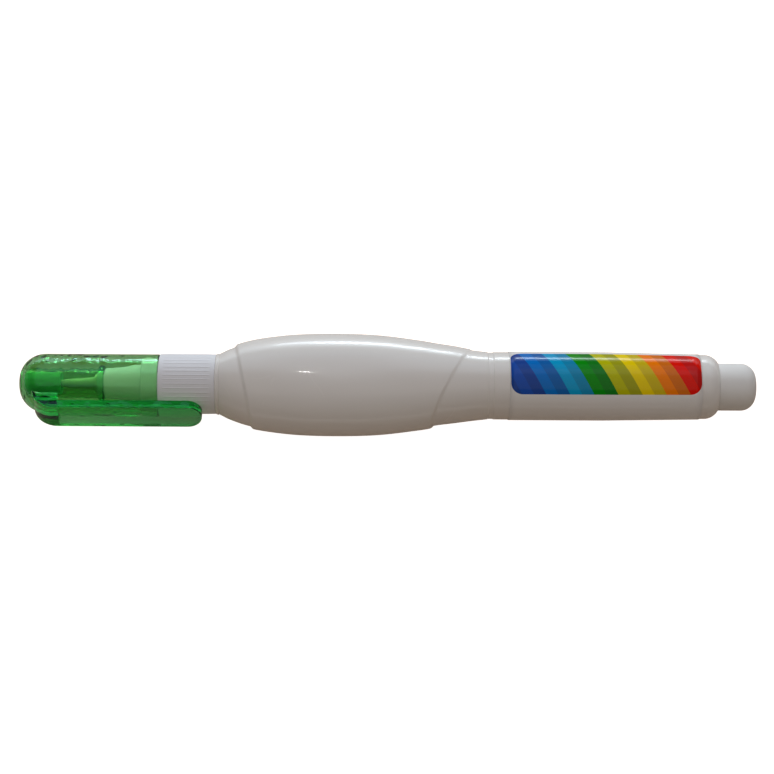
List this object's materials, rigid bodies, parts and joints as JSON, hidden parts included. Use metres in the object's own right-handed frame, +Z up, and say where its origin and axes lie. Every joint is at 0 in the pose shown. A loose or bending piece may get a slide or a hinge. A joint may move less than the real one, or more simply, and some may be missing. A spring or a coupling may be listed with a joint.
{
  "type": "correction pen",
  "caption": "Slim squeeze correction pen: white bottle with an oval belly and round barrel, ribbed collar, needle-valve metal tip, and a clear green cap with a pocket clip.",
  "frame": {"origin": "on the table under the middle of the pen as it lies on its belly", "axes": "+X along the pen from the cap to the tail, +Z up from the table, +Y away from the clip's side"},
  "size_m": [0.1394, 0.0198, 0.0166],
  "materials": {
    "white_bottle": "white blow-moulded polyethylene, smooth and glossy",
    "white_moulding": "white injection-moulded polypropylene, satin to glossy",
    "label_film": "thin glossy printed film",
    "green_clear": "see-through green plastic, glossy",
    "tip_metal": "turned nickel-silver, bright",
    "valve_steel": "drawn stainless steel",
    "valve_plastic": "natural acetal, satin",
    "soft_seal": "soft elastomer, matt"
  },
  "bodies": {
    "bottle": {"bottle": "white_bottle", "wrap_label": "label_film", "tail_plug": "white_moulding", "nozzle": "white_moulding", "neck_gasket": "soft_seal", "metal_tip": "tip_metal", "spring_seat": "valve_plastic", "valve_spring": "valve_steel"},
    "valve": {"valve_needle": "valve_steel", "needle_slider": "valve_plastic"},
    "ball": {"mixing_ball": "valve_steel"},
    "cap_seal": {"cap_tip_seal": "soft_seal"},
    "cap": {"cap_shell": "green_clear"}
  },
  "joints": [
    {"name": "cap_pull", "type": "slide", "parent": "bottle", "child": "cap_seal", "axis": [-1, 0, 0], "range_m": [0, 0.035]},
    {"name": "cap_turn", "type": "hinge", "parent": "cap_seal", "child": "cap", "pos_m": [-0.06, 0, 0.0083], "axis": [1, 0, 0], "continuous": true},
    {"name": "needle_press", "type": "slide", "parent": "bottle", "child": "valve", "axis": [1, 0, 0], "range_m": [0, 0.0004], "stiffness_N_per_m": 200, "springref_m": -0.001, "deforming": ["valve_spring"]},
    {"name": "ball_run", "type": "slide", "parent": "bottle", "child": "ball", "axis": [1, 0, 0], "range_m": [-0.0675, 0.0153]}
  ]
}
